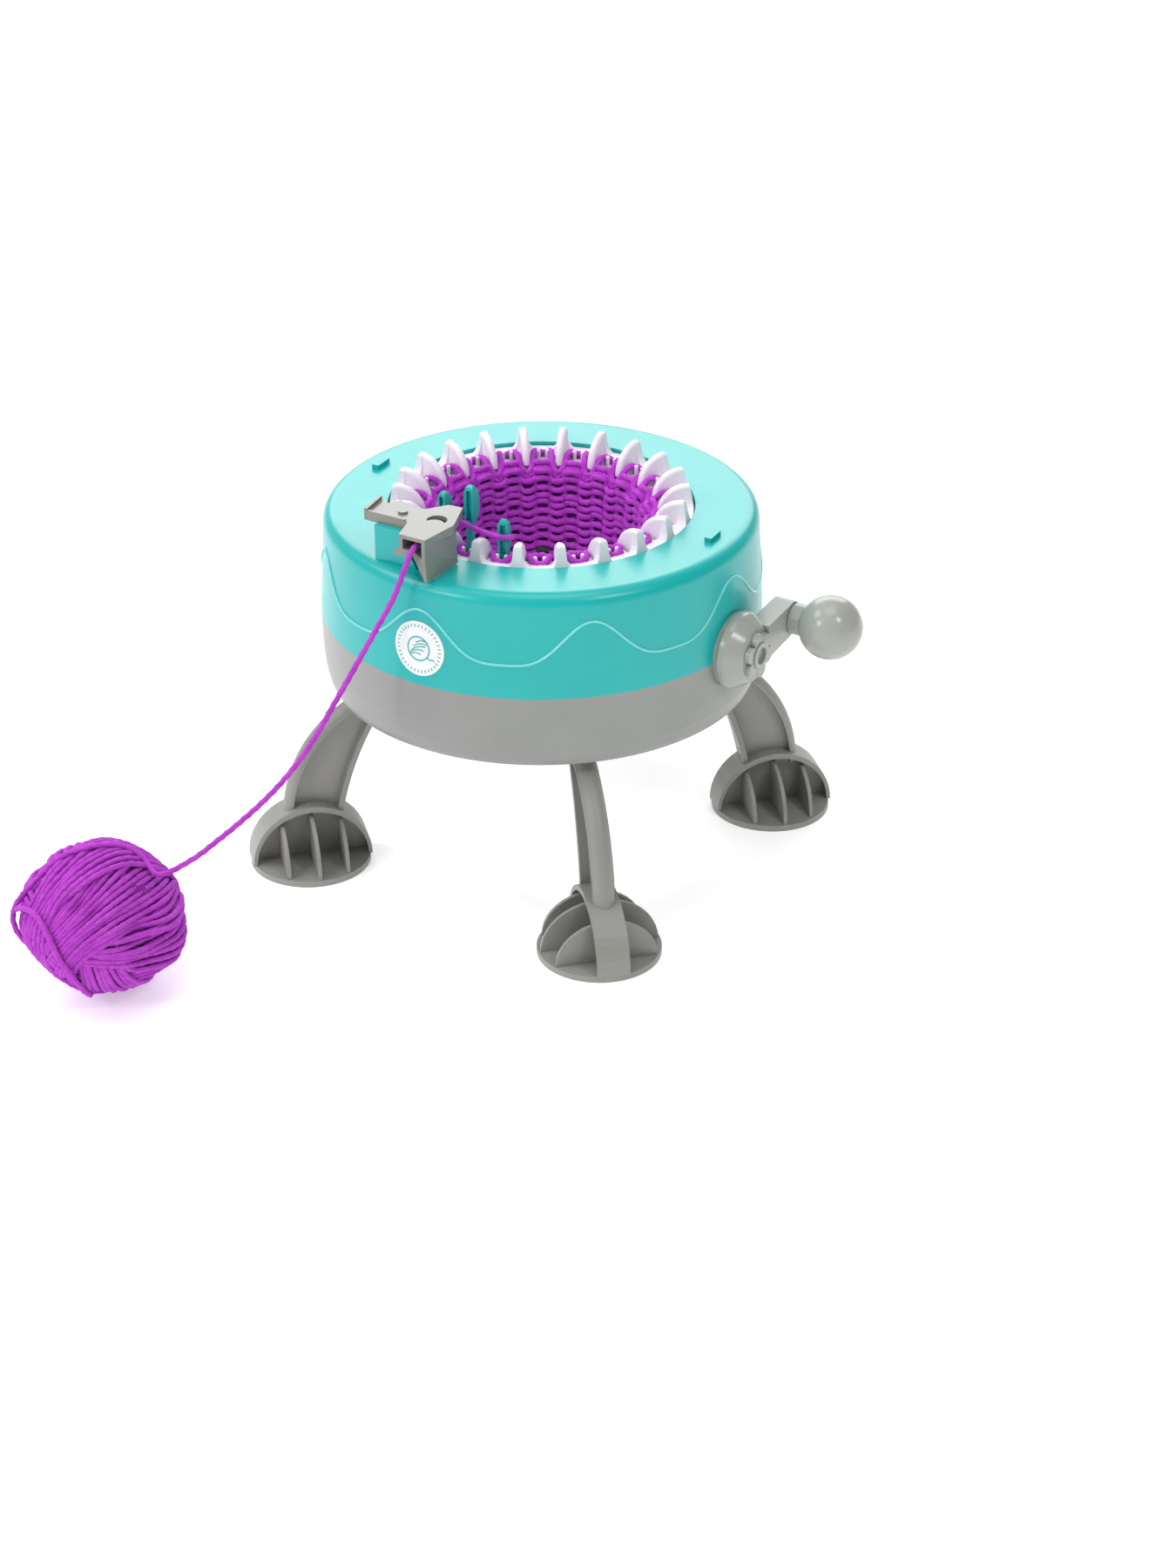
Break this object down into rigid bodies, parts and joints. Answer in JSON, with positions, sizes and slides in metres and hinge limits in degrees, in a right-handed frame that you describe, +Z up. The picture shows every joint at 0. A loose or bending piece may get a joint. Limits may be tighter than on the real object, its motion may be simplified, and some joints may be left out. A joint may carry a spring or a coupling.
{
  "type": "circular knitting machine",
  "caption": "Hand-cranked circular knitting machine: round drum on arched legs, ring of fins and needles around a knitted tube, yarn guide, crank with ball knob, and a ball of yarn.",
  "frame": {"origin": "on the floor plane under the middle of the bounding box of the machine without its yarn; the needle bed turns about a vertical axis 20.4 mm on the -X side of it", "axes": "+Z up, +X along the crank's axis away from the drum, +Y to the back; the yarn guide and the yarn are at -Y"},
  "size_m": [0.2802, 0.3624, 0.2019],
  "materials": {
    "teal_gloss": "glossy",
    "casing_grey": "satin",
    "leg_grey": "satin",
    "pale_grey": "satin",
    "bed_white": "satin",
    "needle_teal": "glossy",
    "screw_steel": "brushed",
    "badge_face": "printed",
    "knit_yarn": "spun acrylic",
    "yarn": "spun acrylic"
  },
  "bodies": {
    "casing": {"top_cover": "teal_gloss", "lower_casing": "casing_grey", "cover_clips": "teal_gloss", "cam_ring": "casing_grey", "crank_bushing": "pale_grey", "yarn_guide": "pale_grey", "round_badge": "badge_face", "leg_front_left": "leg_grey", "leg_front_right": "leg_grey", "leg_rear_left": "leg_grey", "leg_rear_right": "leg_grey", "casing_screws": "screw_steel", "leg_screws": "screw_steel", "yarn_strand": "yarn", "yarn_ball": "yarn"},
    "needle_bed": {"needle_cylinder": "bed_white", "fin_crown": "bed_white", "ring_gear": "bed_white", "gear_screws": "screw_steel", "knitted_tube": "knit_yarn"},
    "crank": {"crank_shaft": "screw_steel", "drive_pinion": "bed_white", "crank_arm": "pale_grey", "flower_cap": "pale_grey", "knob_pin": "screw_steel"},
    "knob": {"ball_knob": "pale_grey"},
    "needle_01_body": {"needle_01": "needle_teal"},
    "needle_02_body": {"needle_02": "needle_teal"},
    "needle_03_body": {"needle_03": "needle_teal"},
    "needle_04_body": {"needle_04": "needle_teal"},
    "needle_05_body": {"needle_05": "needle_teal"},
    "needle_06_body": {"needle_06": "needle_teal"},
    "needle_07_body": {"needle_07": "needle_teal"},
    "needle_08_body": {"needle_08": "needle_teal"},
    "needle_09_body": {"needle_09": "needle_teal"},
    "needle_10_body": {"needle_10": "needle_teal"},
    "needle_11_body": {"needle_11": "needle_teal"},
    "needle_12_body": {"needle_12": "needle_teal"},
    "needle_13_body": {"needle_13": "needle_teal"},
    "needle_14_body": {"needle_14": "needle_teal"},
    "needle_15_body": {"needle_15": "needle_teal"},
    "needle_16_body": {"needle_16": "needle_teal"},
    "needle_17_body": {"needle_17": "needle_teal"},
    "needle_18_body": {"needle_18": "needle_teal"},
    "needle_19_body": {"needle_19": "needle_teal"},
    "needle_20_body": {"needle_20": "needle_teal"},
    "needle_21_body": {"needle_21": "needle_teal"},
    "needle_22_body": {"needle_22": "needle_teal"}
  },
  "joints": [
    {"name": "needle_bed_turn", "type": "hinge", "parent": "casing", "child": "needle_bed", "pos_m": [-0.02038, 0, 0.093], "axis": [0, 0, 1], "continuous": true},
    {"name": "crank_turn", "type": "hinge", "parent": "casing", "child": "crank", "pos_m": [0.08392, 0, 0.1243], "axis": [1, 0, 0], "continuous": true},
    {"name": "knob_spin", "type": "hinge", "parent": "crank", "child": "knob", "pos_m": [0.11402, 0.03161, 0.12987], "axis": [1, 0, 0], "continuous": true},
    {"name": "needle_01_lift", "type": "slide", "parent": "needle_bed", "child": "needle_01_body", "axis": [0, 0, 1], "range_m": [0, 0.04]},
    {"name": "needle_02_lift", "type": "slide", "parent": "needle_bed", "child": "needle_02_body", "axis": [0, 0, 1], "range_m": [0, 0.04]},
    {"name": "needle_03_lift", "type": "slide", "parent": "needle_bed", "child": "needle_03_body", "axis": [0, 0, 1], "range_m": [0, 0.04]},
    {"name": "needle_04_lift", "type": "slide", "parent": "needle_bed", "child": "needle_04_body", "axis": [0, 0, 1], "range_m": [0, 0.04]},
    {"name": "needle_05_lift", "type": "slide", "parent": "needle_bed", "child": "needle_05_body", "axis": [0, 0, 1], "range_m": [0, 0.04]},
    {"name": "needle_06_lift", "type": "slide", "parent": "needle_bed", "child": "needle_06_body", "axis": [0, 0, 1], "range_m": [0, 0.04]},
    {"name": "needle_07_lift", "type": "slide", "parent": "needle_bed", "child": "needle_07_body", "axis": [0, 0, 1], "range_m": [0, 0.04]},
    {"name": "needle_08_lift", "type": "slide", "parent": "needle_bed", "child": "needle_08_body", "axis": [0, 0, 1], "range_m": [0, 0.04]},
    {"name": "needle_09_lift", "type": "slide", "parent": "needle_bed", "child": "needle_09_body", "axis": [0, 0, 1], "range_m": [0, 0.04]},
    {"name": "needle_10_lift", "type": "slide", "parent": "needle_bed", "child": "needle_10_body", "axis": [0, 0, 1], "range_m": [0, 0.04]},
    {"name": "needle_11_lift", "type": "slide", "parent": "needle_bed", "child": "needle_11_body", "axis": [0, 0, 1], "range_m": [0, 0.04]},
    {"name": "needle_12_lift", "type": "slide", "parent": "needle_bed", "child": "needle_12_body", "axis": [0, 0, 1], "range_m": [0, 0.04]},
    {"name": "needle_13_lift", "type": "slide", "parent": "needle_bed", "child": "needle_13_body", "axis": [0, 0, 1], "range_m": [0, 0.04]},
    {"name": "needle_14_lift", "type": "slide", "parent": "needle_bed", "child": "needle_14_body", "axis": [0, 0, 1], "range_m": [-0.0102, 0.0298]},
    {"name": "needle_15_lift", "type": "slide", "parent": "needle_bed", "child": "needle_15_body", "axis": [0, 0, 1], "range_m": [-0.03038, 0.00962]},
    {"name": "needle_16_lift", "type": "slide", "parent": "needle_bed", "child": "needle_16_body", "axis": [0, 0, 1], "range_m": [-0.03803, 0.00197]},
    {"name": "needle_17_lift", "type": "slide", "parent": "needle_bed", "child": "needle_17_body", "axis": [0, 0, 1], "range_m": [-0.02462, 0.01538]},
    {"name": "needle_18_lift", "type": "slide", "parent": "needle_bed", "child": "needle_18_body", "axis": [0, 0, 1], "range_m": [-0.00511, 0.03489]},
    {"name": "needle_19_lift", "type": "slide", "parent": "needle_bed", "child": "needle_19_body", "axis": [0, 0, 1], "range_m": [0, 0.04]},
    {"name": "needle_20_lift", "type": "slide", "parent": "needle_bed", "child": "needle_20_body", "axis": [0, 0, 1], "range_m": [0, 0.04]},
    {"name": "needle_21_lift", "type": "slide", "parent": "needle_bed", "child": "needle_21_body", "axis": [0, 0, 1], "range_m": [0, 0.04]},
    {"name": "needle_22_lift", "type": "slide", "parent": "needle_bed", "child": "needle_22_body", "axis": [0, 0, 1], "range_m": [0, 0.04]}
  ],
  "couplings": [
    {"joint": "crank_turn", "follows": "needle_bed_turn", "ratio": 6}
  ]
}
